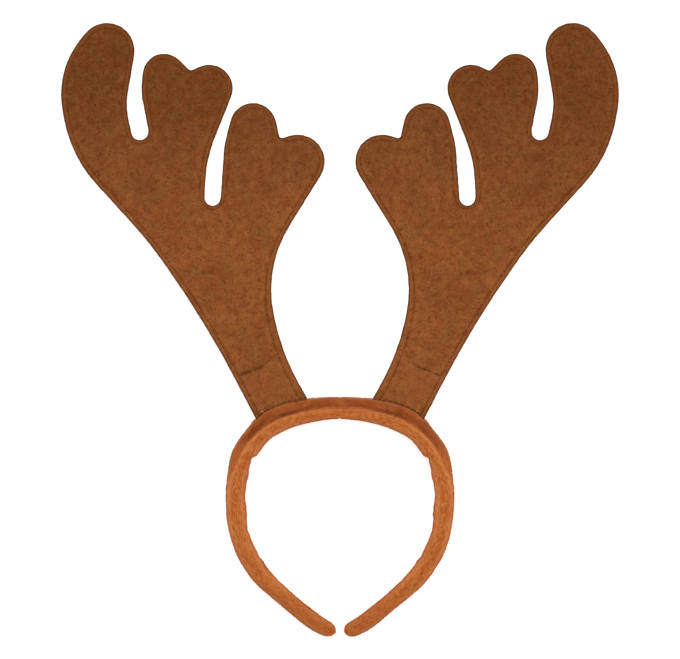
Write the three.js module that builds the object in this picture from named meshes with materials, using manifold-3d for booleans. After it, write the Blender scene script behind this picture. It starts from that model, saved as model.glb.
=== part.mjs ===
// Reindeer antler headband: a padded plush hair band with two flat felt antlers sewn into its seam ridge.
// Millimetres. The hoop lies on its back edge: +Z up is the front, +Y points to the antler tips, +X right.
// Heights are measured from the surface it lies on, and places in the plane from the hoop's inner top.

import * as THREE from 'three';
import { mergeVertices } from 'three/addons/utils/BufferGeometryUtils.js';
import Module from 'manifold-3d';

const wasm = await Module();
wasm.setup();

// Driving sizes
const hoopSideRadius = 65.5;   // inner radius of the hoop where it passes the ears
const padThickness = 11.5;     // radial thickness of the padding at the sides
const bandDepth = 17;          // front to back, at the top of the head
const endRound = 5;            // radius of the two free ends
const ridgeHeight = 6.4;       // how far the sewn seam stands out of the padding at the top
const ridgeThickness = 7;
const antlerHeight = 236;      // from the seam to the highest tip
const antlerPlace = 31.4;      // along the hoop's inner line, from its top to an antler's middle
const feltThickness = 1.5;
const layerGap = 0.3;          // between the two felt layers of an antler
const slotClearance = 0.3;     // between the felt and the seam that grips it
const slotDepth = 4.6;         // how far the felt reaches into the seam
const footSink = 3.3;          // how far the middle of an antler's foot lies below the seam's crest
const droopStart = 10;         // height above the seam where the felt begins to sink to the surface
const droopEnd = 130;          // height above the seam where it lies flat

// Fineness of the facets
const curveTolerance = 0.12;
const shortestEdge = 0.05;
const stationStep = 3.6;
const droopSteps = 8;
const seatSteps = 6;
const endSteps = 4;
const tipShare = 0.91;         // how far round the last section of a free end lies, as a share of its curve
const padSides = 12;
const padRoundness = 2.6;      // exponent of the section's superellipse: 2 is an ellipse
const noseSteps = 5;

// Half of the hoop's inner line, from its top round to a free end.
// Radius as a share of hoopSideRadius, sweep in degrees.
const hoopArcs = [
  { name: 'top', radius: 1.227, sweep: 29.6 },
  { name: 'shoulder', radius: 0.366, sweep: 50 },
  { name: 'flank', radius: 1.985, sweep: 12 },
  { name: 'side', radius: 1, sweep: 40 },
  { name: 'lower', radius: 2.09, sweep: 19.3 },
];

// Sections of the band. Place is a share of the half hoop's length; inner is how far the inner face
// stands off the hoop's line and pad its thickness, both as shares of padThickness; ridge is a share of
// ridgeHeight, below zero where the seam has sunk into the padding; depth is a share of bandDepth.
const bandSections = [
  { place: 0.000, inner: -0.010, pad: 0.580, ridge: 1.00, depth: 1.00 },
  { place: 0.050, inner: -0.030, pad: 0.630, ridge: 1.00, depth: 1.00 },
  { place: 0.094, inner: -0.035, pad: 0.710, ridge: 1.00, depth: 1.00 },
  { place: 0.143, inner: -0.020, pad: 0.750, ridge: 1.13, depth: 1.00 },
  { place: 0.190, inner: -0.020, pad: 0.790, ridge: 1.13, depth: 1.00 },
  { place: 0.215, inner: -0.020, pad: 0.765, ridge: 1.12, depth: 1.00 },
  { place: 0.243, inner: -0.020, pad: 0.730, ridge: 1.02, depth: 0.99 },
  { place: 0.267, inner: -0.060, pad: 0.760, ridge: 0.83, depth: 0.98 },
  { place: 0.292, inner: -0.070, pad: 0.800, ridge: 0.75, depth: 0.97 },
  { place: 0.314, inner: 0.010, pad: 0.770, ridge: 0.73, depth: 0.96 },
  { place: 0.332, inner: 0.155, pad: 0.690, ridge: 0.70, depth: 0.95 },
  { place: 0.369, inner: 0.165, pad: 0.830, ridge: 0.50, depth: 0.94 },
  { place: 0.400, inner: 0.180, pad: 0.960, ridge: 0.20, depth: 0.93 },
  { place: 0.420, inner: 0.220, pad: 1.020, ridge: -0.10, depth: 0.92 },
  { place: 0.440, inner: 0.270, pad: 0.990, ridge: -0.30, depth: 0.91 },
  { place: 0.496, inner: 0.190, pad: 1.035, ridge: -0.30, depth: 0.89 },
  { place: 0.530, inner: 0.225, pad: 0.980, ridge: -0.30, depth: 0.88 },
  { place: 0.580, inner: 0.200, pad: 0.975, ridge: -0.30, depth: 0.87 },
  { place: 0.617, inner: 0.145, pad: 1.000, ridge: -0.30, depth: 0.86 },
  { place: 0.660, inner: 0.095, pad: 0.980, ridge: -0.30, depth: 0.84 },
  { place: 0.716, inner: 0.030, pad: 0.980, ridge: -0.30, depth: 0.81 },
  { place: 0.770, inner: -0.025, pad: 0.900, ridge: -0.30, depth: 0.78 },
  { place: 0.826, inner: -0.050, pad: 0.835, ridge: -0.30, depth: 0.74 },
  { place: 0.880, inner: -0.070, pad: 0.845, ridge: -0.30, depth: 0.71 },
  { place: 0.937, inner: -0.050, pad: 0.835, ridge: -0.30, depth: 0.68 },
  { place: 1.000, inner: -0.080, pad: 0.730, ridge: -0.30, depth: 0.65 },
];
const ridgeReach = 0.44;       // share of the half hoop's length at which the seam has sunk in
const ridgeRoot = 0.25;        // how deep the seam's root lies in the padding, a share of padThickness

// Outline of an antler as a belt run round circles, from the outer foot over the tips to the inner foot.
// All lengths are shares of antlerHeight, from the middle of the foot: out is away from the centre
// line, up is towards the tips. Turn 1 wraps the belt round the outside of a circle, -1 hollows it.
const antlerBelt = [
  { name: 'outer foot', out: 0.041, up: -0.064, radius: 0, turn: 1 },
  { name: 'outer base', out: 2.289, up: -1.064, radius: 2.456, turn: -1 },
  { name: 'outer hollow', out: 1.011, up: -0.121, radius: 0.868, turn: -1 },
  { name: 'outer bow', out: 0.222, up: 0.790, radius: 0.329, turn: 1 },
  { name: 'outer crown', out: 0.3345, up: 0.795, radius: 0.219, turn: 1 },
  { name: 'beam tip', out: 0.438, up: 0.905, radius: 0.069, turn: 1 },
  { name: 'beam wall', out: 0.229, up: 0.770, radius: 0.160, turn: -1 },
  { name: 'first gap', out: 0.355, up: 0.700, radius: 0.0224, turn: -1 },
  { name: 'fork side', out: 0.2295, up: 0.806, radius: 0.121, turn: 1 },
  { name: 'fork tip one', out: 0.294, up: 0.843, radius: 0.0534, turn: 1 },
  { name: 'fork valley', out: 0.227, up: 0.858, radius: 0.0046, turn: -1 },
  { name: 'fork tip two', out: 0.180, up: 0.810, radius: 0.0587, turn: 1 },
  { name: 'second gap wall', out: -0.140, up: 0.5605, radius: 0.331, turn: -1 },
  { name: 'second gap', out: 0.1715, up: 0.533, radius: 0.021, turn: -1 },
  { name: 'brow side', out: 0.025, up: 0.6495, radius: 0.117, turn: 1 },
  { name: 'brow tip one', out: 0.069, up: 0.7135, radius: 0.0584, turn: 1 },
  { name: 'brow valley', out: -0.001, up: 0.687, radius: 0.0046, turn: -1 },
  { name: 'brow tip two', out: -0.044, up: 0.625, radius: 0.067, turn: 1 },
  { name: 'neck', out: -0.283, up: 0.301, radius: 0.307, turn: -1 },
  { name: 'neck foot', out: -0.542, up: 0.343, radius: 0.569, turn: -1 },
  { name: 'inner foot', out: -0.084, up: -0.0036, radius: 0, turn: 1 },
];

// Worked-out sizes
const seamHeight = bandDepth / 2;
const antlerThickness = 2 * feltThickness + layerGap;
const hoopRun = layOutHoop();
const halfLength = hoopRun.at(-1).end;

// The arcs of the half hoop with their centres, start headings and lengths along the line.
// Heading is measured clockwise from +X, so the outward normal there is (sin heading, cos heading).
function layOutHoop() {
  let heading = 0;
  let along = 0;
  let point = new THREE.Vector2(0, 0);
  return hoopArcs.map((arc) => {
    const radius = arc.radius * hoopSideRadius;
    const sweep = THREE.MathUtils.degToRad(arc.sweep);
    const centre = point.clone().sub(outward(heading).multiplyScalar(radius));
    const run = { radius, centre, heading, start: along, end: along + radius * sweep };
    heading += sweep;
    along = run.end;
    point = centre.clone().add(outward(heading).multiplyScalar(radius));
    return run;
  });
}

function outward(heading) {
  return new THREE.Vector2(Math.sin(heading), Math.cos(heading));
}

// A point of the right half, by its distance along the hoop's line and its distance outside it.
function hoopPoint(along, out) {
  const run = hoopRun.find((arc) => along <= arc.end) ?? hoopRun.at(-1);
  const heading = run.heading + (along - run.start) / run.radius;
  return run.centre.clone().add(outward(heading).multiplyScalar(run.radius + out));
}

// The reverse: where a point of the right half lies along the hoop and outside it.
function hoopPlace(point) {
  const places = hoopRun.map((run) => {
    const arm = point.clone().sub(run.centre);
    const heading = Math.atan2(arm.x, arm.y);
    const along = run.start + (heading - run.heading) * run.radius;
    const inside = THREE.MathUtils.clamp(along, run.start, run.end);
    return { along: inside, out: arm.length() - run.radius, miss: Math.abs(along - inside) };
  });
  return places.reduce((best, place) => (place.miss < best.miss ? place : best));
}

// A smooth value between the rows of a table, through every row.
function between(rows, column, place) {
  const last = rows.length - 1;
  let row = rows.findIndex((next) => next.place > place) - 1;
  if (row < 0) row = place < rows[0].place ? 0 : last - 1;
  const value = (index) => rows[THREE.MathUtils.clamp(index, 0, last)][column];
  const at = (index) => rows[THREE.MathUtils.clamp(index, 0, last)].place;
  const width = at(row + 1) - at(row);
  const slope = (index) => (value(index + 1) - value(index - 1)) / (at(index + 1) - at(index - 1));
  const t = THREE.MathUtils.clamp((place - at(row)) / width, 0, 1);
  return value(row) * (1 + 2 * t) * (1 - t) ** 2 + value(row + 1) * t * t * (3 - 2 * t)
    + slope(row) * width * t * (1 - t) ** 2 - slope(row + 1) * width * t * t * (1 - t);
}

// The band's section at a distance along the half hoop, in millimetres.
function sectionAt(along) {
  const read = (column) => between(bandSections, column, along / halfLength);
  const inner = read('inner') * padThickness;
  const outer = inner + read('pad') * padThickness;
  return { inner, outer, crest: outer + read('ridge') * ridgeHeight, depth: read('depth') * bandDepth };
}

// Distances along the whole hoop at which it gets a section, closer together on the rounded ends.
function stations(reach, rounded) {
  const straight = reach - rounded;
  const count = Math.ceil(straight / stationStep);
  const half = Array.from({ length: count + 1 }, (_, i) => (straight * i) / count);
  for (let i = 1; rounded > 0 && i <= endSteps; i += 1) {
    half.push(straight + rounded * Math.sin((Math.PI / 2) * tipShare * (i / endSteps)));
  }
  return [...half.slice(1).reverse().map((along) => -along), ...half];
}

// A closed solid through rings of points that all have the same count.
function loft(rings) {
  const sides = rings[0].length;
  const positions = rings.flat().flatMap((p) => [p.x, p.y, p.z]);
  const index = [];
  for (let ring = 0; ring < rings.length - 1; ring += 1) {
    for (let side = 0; side < sides; side += 1) {
      const a = ring * sides + side;
      const b = ring * sides + ((side + 1) % sides);
      index.push(a, b, a + sides, b, b + sides, a + sides);
    }
  }
  const lastRing = (rings.length - 1) * sides;
  for (let side = 1; side < sides - 1; side += 1) {
    index.push(0, side + 1, side);
    index.push(lastRing, lastRing + side, lastRing + side + 1);
  }
  return solidGeometry(positions, index);
}

// A geometry whose faces point out, whichever way round its rings or outline ran.
function solidGeometry(positions, index) {
  const corner = (i) => new THREE.Vector3().fromArray(positions, 3 * index[i]);
  let volume = 0;
  for (let i = 0; i < index.length; i += 3) {
    volume += corner(i).dot(corner(i + 1).cross(corner(i + 2)));
  }
  const faces = volume > 0 ? index : index.toReversed();
  const geometry = new THREE.BufferGeometry();
  geometry.setAttribute('position', new THREE.Float32BufferAttribute(positions, 3));
  geometry.setIndex(faces);
  return geometry;
}

// A flat ring of (outside the hoop, height) pairs, set into place across the hoop.
function placeRing(along, pairs) {
  const side = along < 0 ? -1 : 1;
  return pairs.map(([out, height]) => {
    const point = hoopPoint(Math.abs(along), out);
    return new THREE.Vector3(side * point.x, point.y, height);
  });
}

// The padded tube: a rounded section with a narrow flat below, on which the band lies.
function padGeometry() {
  const power = (value) => Math.sign(value) * Math.abs(value) ** (2 / padRoundness);
  const flatAt = Math.PI / padSides;
  const rings = stations(halfLength, endRound).map((along) => {
    const { inner, outer, depth } = sectionAt(Math.abs(along));
    const past = Math.max(0, Math.abs(along) - (halfLength - endRound)) / endRound;
    const shrink = Math.sqrt(1 - past * past);
    const pairs = Array.from({ length: padSides }, (_, i) => {
      const angle = flatAt * (2 * i + 1);
      const out = (power(Math.cos(angle)) / power(Math.cos(flatAt))) * shrink;
      const up = (power(Math.sin(angle)) / power(Math.cos(flatAt))) * shrink;
      return [(inner + outer) / 2 + (out * (outer - inner)) / 2, (depth / 2) * (1 + up)];
    });
    return placeRing(along, pairs);
  });
  return loft(rings);
}

// The seam ridge: the cover's sewn edges, standing out of the padding, with a rounded nose.
function ridgeGeometry() {
  const half = ridgeThickness / 2;
  const rings = stations(ridgeReach * halfLength, 0).map((along) => {
    const { outer, crest } = sectionAt(Math.abs(along));
    const root = outer - ridgeRoot * padThickness;
    const nose = Math.min(half, (crest - root) / 2);
    const pairs = [[root, -half], ...Array.from({ length: noseSteps + 1 }, (_, i) => {
      const angle = Math.PI * (i / noseSteps - 0.5);
      return [crest - nose + nose * Math.cos(angle), half * Math.sin(angle)];
    }), [root, half]];
    return placeRing(along, pairs.map(([out, up]) => [out, seamHeight + up]));
  });
  return loft(rings);
}

// The common tangent of two circles of the belt: the points where it leaves one and meets the next.
function tangent(from, to) {
  const arm = to.centre.clone().sub(from.centre);
  const lean = (to.turn * to.radius - from.turn * from.radius) / arm.length();
  arm.normalize();
  const across = new THREE.Vector2(-arm.y, arm.x);
  const rise = Math.sqrt(1 - lean * lean);
  const normal = arm.clone().multiplyScalar(lean).addScaledVector(across, rise);
  const leave = from.centre.clone().addScaledVector(normal, -from.turn * from.radius);
  const meet = to.centre.clone().addScaledVector(normal, -to.turn * to.radius);
  return { leave, meet };
}

// The points of the belt from foot to foot, grown outwards by a clearance.
function beltPoints(grow) {
  const circles = antlerBelt.map(({ out, up, radius, turn }) => ({
    centre: new THREE.Vector2(out, up).multiplyScalar(antlerHeight),
    radius: radius * antlerHeight + turn * grow,
    turn,
  }));
  const lines = circles.slice(1).map((circle, i) => tangent(circles[i], circle));
  const points = [lines[0].leave];
  for (let i = 1; i < circles.length - 1; i += 1) {
    const { centre, radius, turn } = circles[i];
    const first = lines[i - 1].meet.clone().sub(centre).angle();
    const last = lines[i].leave.clone().sub(centre).angle();
    const sweep = turn * THREE.MathUtils.euclideanModulo(turn * (last - first), 2 * Math.PI);
    const step = 2 * Math.acos(1 - Math.min(1, curveTolerance / radius));
    const count = Math.max(1, Math.ceil(Math.abs(sweep) / step));
    for (let k = 0; k <= count; k += 1) {
      const angle = first + (sweep * k) / count;
      points.push(new THREE.Vector2(Math.cos(angle), Math.sin(angle)).multiplyScalar(radius).add(centre));
    }
  }
  points.push(lines.at(-1).meet);
  return points;
}

// Where the middle of an antler's foot sits in the seam.
function footPoint() {
  return hoopPoint(antlerPlace, sectionAt(antlerPlace).crest - footSink);
}

// The right antler's outline in the plane, with its foot cut along the floor of the slot in the seam.
function antlerOutline(grow) {
  const belt = beltPoints(grow).map((point) => point.add(footPoint()));
  const run = (end, before) => end.clone().sub(before).setLength(2 * slotDepth).add(end);
  const open = [run(belt[0], belt[1]), ...belt, run(belt.at(-1), belt.at(-2))];
  const floorAt = (along) => sectionAt(along).crest - slotDepth - grow;
  const above = (point) => {
    const { along, out } = hoopPlace(point);
    return out - floorAt(along);
  };
  const crossing = (low, high) => {
    const [a, b] = [above(low), above(high)];
    return low.clone().lerp(high, a / (a - b));
  };
  const first = open.findIndex((point) => above(point) > 0);
  const last = open.findLastIndex((point) => above(point) > 0);
  const outerFoot = crossing(open[first - 1], open[first]);
  const innerFoot = crossing(open[last + 1], open[last]);
  const [from, to] = [hoopPlace(innerFoot).along, hoopPlace(outerFoot).along];
  const seat = Array.from({ length: seatSteps - 1 }, (_, i) => {
    const along = from + ((to - from) * (i + 1)) / seatSteps;
    return hoopPoint(along, floorAt(along));
  });
  return [outerFoot, ...open.slice(first, last + 1), innerFoot, ...seat]
    .filter((point, i, all) => point.distanceTo(all[(i + 1) % all.length]) > shortestEdge);
}

// How far the felt has sunk from the seam's height towards the surface, at a height above the foot.
function droop(y) {
  const fall = seamHeight - antlerThickness / 2;
  return fall * THREE.MathUtils.smoothstep(y - footPoint().y, droopStart, droopEnd);
}

// Heights at which the felt bends, kept off the outline's own corners.
function droopLines(outline) {
  return Array.from({ length: droopSteps + 1 }, (_, i) => {
    let y = footPoint().y + droopStart + ((droopEnd - droopStart) * i) / droopSteps;
    while (outline.some((point) => Math.abs(point.y - y) < shortestEdge)) y += shortestEdge;
    return y;
  });
}

// The outline with a corner wherever it crosses one of the lines.
function withCrossings(outline, lines) {
  return outline.flatMap((point, i) => {
    const next = outline[(i + 1) % outline.length];
    const met = lines
      .map((y) => ({ y, t: (y - point.y) / (next.y - point.y) }))
      .filter(({ t }) => t > 0 && t < 1)
      .sort((a, b) => a.t - b.t)
      .map(({ y, t }) => new THREE.Vector2(THREE.MathUtils.lerp(point.x, next.x, t), y));
    return [point, ...met];
  });
}

// The closed loops into which the lines cut the outline. Crossings on a line pair up from left to right.
function bandLoops(loop, lines) {
  const partner = new Map();
  for (const y of lines) {
    const met = loop.filter((point) => point.y === y).sort((p, q) => p.x - q.x);
    met.forEach((point, i) => partner.set(point, met[i ^ 1]));
  }
  const start = loop.findIndex((point) => partner.has(point));
  if (start < 0) return [loop];
  const turned = [...loop.slice(start), ...loop.slice(0, start + 1)];
  const chains = new Map();
  let chain = null;
  for (const point of turned) {
    chain?.push(point);
    if (partner.has(point)) {
      chain = [point];
      if (!chains.has(point)) chains.set(point, chain);
    }
  }
  const loops = [];
  const used = new Set();
  for (const [first] of chains) {
    const closed = [];
    for (let point = first; !used.has(point);) {
      used.add(point);
      closed.push(...chains.get(point));
      point = partner.get(chains.get(point).at(-1));
    }
    if (closed.length > 2) loops.push(closed);
  }
  return loops;
}

// A felt layer: a plate of even thickness over the outline, whose height follows baseAt.
function plateGeometry(outline, lines, thickness, baseAt) {
  const loop = withCrossings(outline, lines);
  const number = new Map(loop.map((point, i) => [point, i]));
  const count = loop.length;
  const low = loop.flatMap((point) => [point.x, point.y, baseAt(point.y)]);
  const high = loop.flatMap((point) => [point.x, point.y, baseAt(point.y) + thickness]);
  const index = [];
  for (const band of bandLoops(loop, lines)) {
    for (const face of THREE.ShapeUtils.triangulateShape(band, [])) {
      const [a, b, c] = face.map((i) => band[i]);
      const area = b.clone().sub(a).cross(c.clone().sub(a));
      const [i, j, k] = (area > 0 ? [a, b, c] : [a, c, b]).map((point) => number.get(point));
      index.push(k, j, i, count + i, count + j, count + k);
    }
  }
  for (let i = 0; i < count; i += 1) {
    const next = (i + 1) % count;
    index.push(i, next, count + i, next, count + next, count + i);
  }
  return solidGeometry([...low, ...high], index);
}

function mirrored(outline, side) {
  return side > 0 ? outline : outline.map((point) => new THREE.Vector2(-point.x, point.y)).reverse();
}

function toSolid(geometry) {
  const merged = mergeVertices(geometry);
  return new wasm.Manifold(new wasm.Mesh({
    numProp: 3,
    vertProperties: merged.attributes.position.array,
    triVerts: new Uint32Array(merged.index.array),
  }));
}

function toGeometry(solid) {
  const { vertProperties, triVerts } = solid.getMesh();
  const geometry = new THREE.BufferGeometry();
  geometry.setAttribute('position', new THREE.BufferAttribute(vertProperties, 3));
  geometry.setIndex(new THREE.BufferAttribute(triVerts, 1));
  return geometry;
}

// The slot that the antler's foot sits in, as the solid that is cut out of the seam.
function slotGeometry(side) {
  const width = antlerThickness + 2 * slotClearance;
  const outline = mirrored(antlerOutline(slotClearance), side);
  return plateGeometry(outline, [], width, () => seamHeight - width / 2);
}

function headbandGeometry() {
  let band = toSolid(padGeometry()).add(toSolid(ridgeGeometry()));
  for (const side of [-1, 1]) band = band.subtract(toSolid(slotGeometry(side)));
  return toGeometry(band);
}

function feltGeometry(side, layer) {
  const outline = mirrored(antlerOutline(0), side);
  const lift = layer === 'front' ? layerGap / 2 : -layerGap / 2 - feltThickness;
  return plateGeometry(outline, droopLines(outline), feltThickness, (y) => seamHeight - droop(y) + lift);
}

const plush = { color: 0xb26331, roughness: 0.95, metalness: 0 };
const felt = { color: 0x8a5129, roughness: 1, metalness: 0 };

function piece(name, geometry, finish) {
  const mesh = new THREE.Mesh(geometry, new THREE.MeshStandardMaterial(finish));
  mesh.name = name;
  return mesh;
}

const headpiece = new THREE.Group();
headpiece.add(piece('headband', headbandGeometry(), plush));
for (const [sideName, side] of [['left', -1], ['right', 1]]) {
  for (const layer of ['front', 'back']) {
    headpiece.add(piece(`antler_${sideName}_${layer}`, feltGeometry(side, layer), felt));
  }
}

// The origin is the middle of the whole outline, on the surface it lies on.
const extent = new THREE.Box3().setFromObject(headpiece);
headpiece.position.y = -(extent.min.y + extent.max.y) / 2;

const model = new THREE.Group();
model.add(headpiece);

export default model;
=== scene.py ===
# The looks of a reindeer antler headband: felt antlers with sewn edges, and a padded plush band.
# Metres, +Z up. The headband lies on its back edge, and the camera looks straight down on its front.

import math

import bpy
import numpy as np
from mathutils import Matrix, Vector
from mathutils.bvhtree import BVHTree
from mathutils.geometry import delaunay_2d_cdt
from mathutils.kdtree import KDTree


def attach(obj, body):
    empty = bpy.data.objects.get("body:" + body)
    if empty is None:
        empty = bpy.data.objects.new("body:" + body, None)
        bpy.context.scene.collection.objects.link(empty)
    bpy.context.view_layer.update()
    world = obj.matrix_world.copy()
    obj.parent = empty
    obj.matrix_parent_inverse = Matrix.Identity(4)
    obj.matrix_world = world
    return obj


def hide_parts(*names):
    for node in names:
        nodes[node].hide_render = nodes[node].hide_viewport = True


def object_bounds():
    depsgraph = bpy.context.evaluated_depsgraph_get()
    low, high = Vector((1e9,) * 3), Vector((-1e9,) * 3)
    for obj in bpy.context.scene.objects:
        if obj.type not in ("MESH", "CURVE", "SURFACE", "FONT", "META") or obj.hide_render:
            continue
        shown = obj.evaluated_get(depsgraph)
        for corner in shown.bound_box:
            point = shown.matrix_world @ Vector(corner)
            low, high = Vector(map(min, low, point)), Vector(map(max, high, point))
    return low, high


MM = 0.001

# The hoop's inner line, half of it: radius in metres and sweep in degrees, from its top to a free end
HOOP_TOP = (0.0, -0.0530)
HOOP_ARCS = [(0.0804, 29.6), (0.0240, 50.0), (0.1300, 12.0), (0.0655, 40.0), (0.1369, 19.3)]

# Where the crease between padding and seam ridge lies: distance along the hoop, distance outside it
CREASE = [
    (0.000, 0.0066), (0.0145, 0.0077), (0.0215, 0.0081), (0.0277, 0.0085), (0.0330, 0.0090),
    (0.0400, 0.0083), (0.0450, 0.0078), (0.0490, 0.0075), (0.0560, 0.0083), (0.0640, 0.0101),
    (0.0690, 0.0120), (0.0760, 0.0126),
]
SEAM_HEIGHT = 0.0085

# Felt and its sewing
OUTLINE_STEP = 0.8 * MM
STITCH_INSET = 2.75 * MM
NECK_INSET = 4.1 * MM
NECK_REACH = 47 * MM
NECK_FADES = (0.100, 0.050)
STITCH_PITCH = 3.0 * MM
STITCH_LENGTH = 2.25 * MM
THREAD_RADIUS = 0.20 * MM
JOINT_PITCH = 2.9 * MM
GROOVE_DEPTH = 0.30 * MM
GROOVE_WIDTH = 0.55 * MM
FELT_FIBRES = 26000

# Plush: the cover's surface lies this far inside the padding's outline, and the pile fills the rest
BAND_VOXEL = 0.72 * MM
PILE_ROOM = 0.30 * MM
PILE_STRANDS = 42000

# Fibres and pile: range of lengths in millimetres, how steeply they stand, millimetres of root, and radius
FIBRES = ((0.6, 2.0), (0.00, 0.22), 0.03, 0.04 * MM)
PILE = ((0.8, 1.5), (0.10, 0.45), 0.12, 0.075 * MM)

# Folds across the inner side of the cover: distance along the hoop, then width and height in millimetres
FOLDS = [
    (0.0500, 1.6, -0.12), (0.0660, 1.5, -0.25), (0.0740, 1.8, -0.35),
    (0.0880, 2.2, 0.30), (0.0925, 1.8, 0.35), (0.1015, 1.8, -0.25),
    (0.1180, 2.0, -0.30), (0.1215, 1.6, 0.25), (0.1360, 2.0, -0.20),
]

# Places where the cover stands out on the outer side, measured as the folds are
SWELLS = [
    (0.0200, 35.0, 0.15), (0.0400, 4.0, 0.80), (0.0560, 7.0, 0.40),
    (0.0750, 3.0, 0.40), (0.1120, 18.0, 0.30), (0.1620, 20.0, 0.45),
]

# The cover closes on the felt in the slots, and the seam ridge sinks into the padding's rounded section
SLOT_GRIP = 0.18 * MM
ROUNDNESS = 2.6

# The light thread's knot at the outer end of each foot: distance along the hoop, and beyond the crest
KNOT = (0.0400, 1.3 * MM)
KNOT_RADIUS = 0.6 * MM

# The sharp nick in the inner line below each shoulder: distance along the hoop, width, and height
NICK = (0.0580, 1.9 * MM, 0.50 * MM)

# Stretches of the half hoop over which something sets in or fades, as distances along it
RIDGE_FADES = (0.066, 0.076)
RIDGE_TINT_AND_SHADE_FADES = (0.050, 0.066)
RIDGE_MERGES = (0.042, 0.062)
FEET_BEGIN = (0.018, 0.026)
ENDS_BEGIN = (0.130, 0.165)

# Where the crease is deepest and the painted shade on the shoulder darkest: distance along the hoop, and
# reach
CREASE_DEEPEST = (0.028, 12 * MM)
SHOULDER_DARKEST = (0.048, 6 * MM)

# How strongly the crease and its painted shade show at their faintest, how dark the painted shade on the
# shoulders and on the seam ridge beside the feet is, and how much darker the free ends are
CREASE_LEAST = 0.15
SHOULDER_SHADE = 0.54
FEET_SHADE = 0.12
ENDS_SHADE = 0.13

# The padding's two light rims, painted highlights of the plush's sheen along its edges: where along the
# hoop each fades, its share of the way across, its width
RIM_HIGHLIGHTS = [((0.135, 0.160), 0.15, 0.14), ((0.100, 0.130), 0.87, 0.11)]
RIM_HIGHLIGHT_LOSS = 0.45
RIDGE_RIM_HIGHLIGHT = 0.70

# The seam across the right antler above its foot, from its outer end to its inner one
CROSS_SEAM = [(0.0600, -0.0276), (0.0465, -0.0224), (0.0415, -0.0185), (0.0370, -0.0132)]

# A stitch's points as shares of its length, how far each lies above the face, and how thick it is there
STITCH_SHARES = np.array([-0.06, 0.16, 0.5, 0.84, 1.06])
STITCH_RISES = MM * np.array([-0.62, -0.24, -0.14, -0.24, -0.62])
STITCH_RADII = THREAD_RADIUS * np.array([0.6, 1, 1.08, 1, 0.6])

# The same for the stitches that hold the feet, with the shares from their middle
JOINT_SHARES = np.linspace(-1, 1, 7)
JOINT_RISES = 0.12 * MM * np.array([-3, 0.2, 1, 1, 1, 0.2, -3])
JOINT_RADII = THREAD_RADIUS * np.array([0.7, 1, 1.1, 1.1, 1.1, 1, 0.7])

# Felt's unevenness, and a distance that is far from any sewing
EDGE_WOBBLE = 0.10 * MM
WAVE_HEIGHT = 1.3 * MM
UNSEWN = 1.0

# Small press marks in the felt: place on the right antler, direction, then length,
# width and depth in millimetres, and shade, how dark the painted shade in each mark's crease is
PRESS_MARKS = [
    (0.0766, 0.0344, 0.0, 1.6, 1.2, 0.10, 0.90),
    (0.0810, 0.0336, 0.0, 7.0, 0.8, 0.15, 0.45),
    (0.0720, 0.0186, 0.3, 1.2, 1.1, 0.08, 0.80),
    (0.0820, 0.0230, 1.4, 5.0, 1.0, 0.10, 0.25),
    (0.1185, 0.0850, 0.8, 8.0, 5.0, 0.05, 0.35),
    (0.1350, 0.0810, 0.8, 5.0, 0.9, 0.25, 0.75),
    (0.1310, 0.0800, 0.9, 5.0, 0.8, 0.20, 0.45),
    (0.1166, 0.1023, 0.2, 7.0, 3.0, 0.05, 0.40),
    (0.0357, 0.0586, 0.7, 3.5, 0.8, 0.20, 0.60),
    (0.0540, 0.0520, -0.5, 9.0, 0.8, 0.15, 0.20),
    (0.0430, 0.0850, 1.5, 9.0, 5.0, 0.05, 0.30),
]


# Noise, tables and curves

RANDOM_TABLE = np.random.default_rng(7).uniform(-1, 1, 4096)


def lattice(cell, seed):
    key = cell[:, 0] * 73856093 ^ cell[:, 1] * 19349663 ^ cell[:, 2] * 83492791 ^ (seed * 2654435)
    return RANDOM_TABLE[key & 4095]


def noise(points, size, seed=0):
    """Smooth noise from -1 to 1 with features of the given size; size may differ along each axis."""
    p = np.asarray(points, float) / np.asarray(size, float)
    cell = np.floor(p).astype(np.int64)
    part = p - cell
    ease = part * part * (3 - 2 * part)
    total = np.zeros(len(p))
    for corner in np.ndindex(2, 2, 2):
        weight = np.prod(np.where(corner, ease, 1 - ease), axis=1)
        total += weight * lattice(cell + np.array(corner), seed)
    return total


def layered(points, size, seed=0, octaves=3):
    total = np.zeros(len(points))
    for level in range(octaves):
        total += noise(points, np.asarray(size, float) / 2**level, seed + level) / 2**level
    return total


def smoothstep(value, low, high):
    t = np.clip((np.asarray(value, float) - low) / (high - low), 0, 1)
    return t * t * (3 - 2 * t)


def bell(value, width):
    return np.exp(-((np.asarray(value, float) / width) ** 2))


# Meshes from arrays


def new_mesh(name, points, faces, smooth=True):
    """faces is a list of integer arrays, each with 3 or more columns."""
    mesh = bpy.data.meshes.new(name)
    corners = np.concatenate([f.ravel() for f in faces]).astype(np.int32)
    sizes = np.concatenate([np.full(len(f), f.shape[1]) for f in faces])
    starts = np.concatenate([[0], np.cumsum(sizes)[:-1]]).astype(np.int32)
    mesh.vertices.add(len(points))
    mesh.vertices.foreach_set("co", np.asarray(points, np.float32).ravel())
    mesh.loops.add(len(corners))
    mesh.loops.foreach_set("vertex_index", corners)
    mesh.polygons.add(len(sizes))
    mesh.polygons.foreach_set("loop_start", starts)
    mesh.polygons.foreach_set("use_smooth", np.full(len(sizes), smooth))
    mesh.update(calc_edges=True)
    mesh.validate()
    return mesh


def new_object(name, mesh, material):
    obj = bpy.data.objects.new(name, mesh)
    bpy.context.scene.collection.objects.link(obj)
    mesh.materials.append(material)
    return obj


def new_piece(name, points, faces, material, smooth=True):
    return new_object(name, new_mesh(name, points, faces, smooth), material)


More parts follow.
